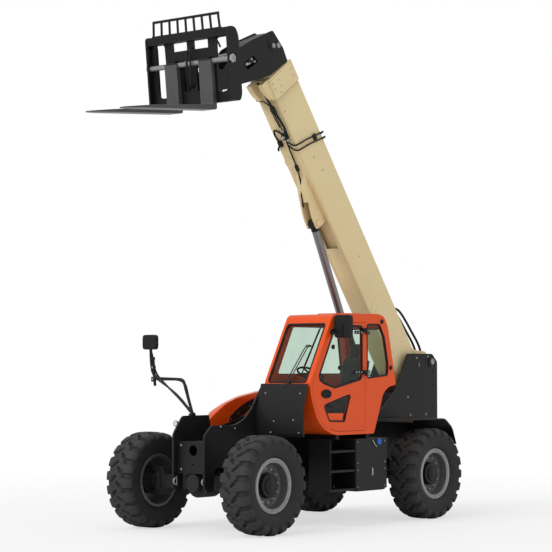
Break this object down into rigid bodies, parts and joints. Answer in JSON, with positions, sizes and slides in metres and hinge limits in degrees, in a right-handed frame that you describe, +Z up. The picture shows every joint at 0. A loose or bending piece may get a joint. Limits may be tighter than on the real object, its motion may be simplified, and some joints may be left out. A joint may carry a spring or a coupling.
{
  "type": "telehandler",
  "caption": "Rigid telehandler with a raised telescopic boom, fork carriage, side cab, engine hood and four steered wheels.",
  "frame": {"origin": "on the ground, at the middle of the bounding box in plan", "axes": "+Z up, -Y the way the forks point, +X towards the cab side"},
  "size_m": [2.7404, 7.2142, 7.1044],
  "materials": {
    "frame_black": "satin",
    "body_orange": "gloss",
    "boom_tan": "satin",
    "rod_chrome": "polished",
    "tyre_rubber": "matte",
    "rim_grey": "satin",
    "window_glass": "gloss",
    "black_plastic": "matte",
    "fork_steel": "satin",
    "cast_grey": "satin",
    "seat_cover": "matte"
  },
  "bodies": {
    "chassis": {"main_frame": "frame_black", "front_axle": "cast_grey", "rear_axle": "cast_grey", "counterweight": "frame_black", "mudguard_rear_left": "frame_black", "mudguard_rear_right": "frame_black", "engine_pod": "frame_black", "engine_block": "cast_grey", "side_tank": "frame_black", "access_steps": "frame_black", "front_fascia": "black_plastic", "cab_frame": "body_orange", "cab_roof": "body_orange", "windshield": "window_glass", "rear_window": "window_glass", "right_window": "window_glass", "quarter_window": "window_glass", "seat": "seat_cover", "dashboard": "black_plastic", "steering_wheel": "black_plastic", "mirror_right": "black_plastic"},
    "door": {"cab_door": "body_orange", "door_window": "window_glass", "door_lower_window": "window_glass", "mirror_left": "black_plastic"},
    "hood": {"hood": "body_orange"},
    "boom_base": {"boom_base": "boom_tan"},
    "boom_head": {"boom_head": "frame_black"},
    "carriage": {"fork_carriage": "frame_black", "fork_shaft": "cast_grey", "fork_left": "fork_steel", "fork_right": "fork_steel"},
    "lift_barrel": {"lift_cylinder_barrel": "frame_black"},
    "lift_rod": {"lift_cylinder_rod": "rod_chrome"},
    "tilt_barrel": {"tilt_cylinder_barrel": "frame_black"},
    "tilt_rod": {"tilt_cylinder_rod": "rod_chrome"},
    "knuckle_front_left": {"knuckle_front_left": "cast_grey"},
    "wheel_front_left": {"rim_front_left": "rim_grey", "tyre_front_left": "tyre_rubber"},
    "knuckle_front_right": {"knuckle_front_right": "cast_grey"},
    "wheel_front_right": {"rim_front_right": "rim_grey", "tyre_front_right": "tyre_rubber"},
    "knuckle_rear_left": {"knuckle_rear_left": "cast_grey"},
    "wheel_rear_left": {"rim_rear_left": "rim_grey", "tyre_rear_left": "tyre_rubber"},
    "knuckle_rear_right": {"knuckle_rear_right": "cast_grey"},
    "wheel_rear_right": {"rim_rear_right": "rim_grey", "tyre_rear_right": "tyre_rubber"}
  },
  "joints": [
    {"name": "steer_front_left", "type": "hinge", "parent": "chassis", "child": "knuckle_front_left", "pos_m": [0.78275, -1.6189, 0.675], "axis": [0, 0, 1], "range_deg": [-35, 35]},
    {"name": "roll_front_left", "type": "hinge", "parent": "knuckle_front_left", "child": "wheel_front_left", "pos_m": [0.96675, -1.6189, 0.675], "axis": [1, 0, 0], "continuous": true},
    {"name": "steer_front_right", "type": "hinge", "parent": "chassis", "child": "knuckle_front_right", "pos_m": [-0.95625, -1.6189, 0.675], "axis": [0, 0, 1], "range_deg": [-35, 35]},
    {"name": "roll_front_right", "type": "hinge", "parent": "knuckle_front_right", "child": "wheel_front_right", "pos_m": [-1.14025, -1.6189, 0.675], "axis": [1, 0, 0], "continuous": true},
    {"name": "steer_rear_left", "type": "hinge", "parent": "chassis", "child": "knuckle_rear_left", "pos_m": [0.78275, 2.1551, 0.675], "axis": [0, 0, 1], "range_deg": [-35, 35]},
    {"name": "roll_rear_left", "type": "hinge", "parent": "knuckle_rear_left", "child": "wheel_rear_left", "pos_m": [0.96675, 2.1551, 0.675], "axis": [1, 0, 0], "continuous": true},
    {"name": "steer_rear_right", "type": "hinge", "parent": "chassis", "child": "knuckle_rear_right", "pos_m": [-0.95625, 2.1551, 0.675], "axis": [0, 0, 1], "range_deg": [-35, 35]},
    {"name": "roll_rear_right", "type": "hinge", "parent": "knuckle_rear_right", "child": "wheel_rear_right", "pos_m": [-1.14025, 2.1551, 0.675], "axis": [1, 0, 0], "continuous": true},
    {"name": "door_swing", "type": "hinge", "parent": "chassis", "child": "door", "pos_m": [1.08825, 0.5381, 2.186], "axis": [0, 0, 1], "range_deg": [0, 95]},
    {"name": "hood_lift", "type": "hinge", "parent": "chassis", "child": "hood", "pos_m": [-0.82675, 1.2501, 1.948], "axis": [-1, 0, 0], "range_deg": [0, 60]},
    {"name": "boom_lift", "type": "hinge", "parent": "chassis", "child": "boom_base", "pos_m": [-0.08675, 3.4071, 2.35], "axis": [-1, 0, 0], "range_deg": [-56, 14]},
    {"name": "boom_extend", "type": "slide", "parent": "boom_base", "child": "boom_head", "axis": [0, -0.5898, 0.8075], "range_m": [0, 2.9]},
    {"name": "carriage_tilt", "type": "hinge", "parent": "boom_head", "child": "carriage", "pos_m": [-0.08675, -1.43373, 6.26164], "axis": [1, 0, 0], "range_deg": [-74, 40]},
    {"name": "lift_barrel_swing", "type": "hinge", "parent": "chassis", "child": "lift_barrel", "pos_m": [-0.08675, 2.4501, 1], "axis": [-1, 0, 0], "range_deg": [-51.6, 12.9]},
    {"name": "lift_rod_slide", "type": "slide", "parent": "lift_barrel", "child": "lift_rod", "axis": [0, -0.4374, 0.8993], "range_m": [-1.51, 0.38]},
    {"name": "tilt_barrel_swing", "type": "hinge", "parent": "boom_head", "child": "tilt_barrel", "pos_m": [-0.08675, -0.35773, 6.90266], "axis": [1, 0, 0], "range_deg": [-0.5, 0.8]},
    {"name": "tilt_rod_slide", "type": "slide", "parent": "tilt_barrel", "child": "tilt_rod", "axis": [0, -0.961, -0.2764], "range_m": [-0.35, 0.19]}
  ],
  "couplings": [
    {"joint": "steer_front_right", "follows": "steer_front_left", "ratio": 1},
    {"joint": "steer_rear_right", "follows": "steer_rear_left", "ratio": 1},
    {"joint": "lift_barrel_swing", "follows": "boom_lift", "ratio": 0.92},
    {"joint": "lift_rod_slide", "follows": "boom_lift", "m_per_rad": 1.54},
    {"joint": "tilt_barrel_swing", "follows": "carriage_tilt", "ratio": -0.01},
    {"joint": "tilt_rod_slide", "follows": "carriage_tilt", "m_per_rad": 0.265}
  ]
}
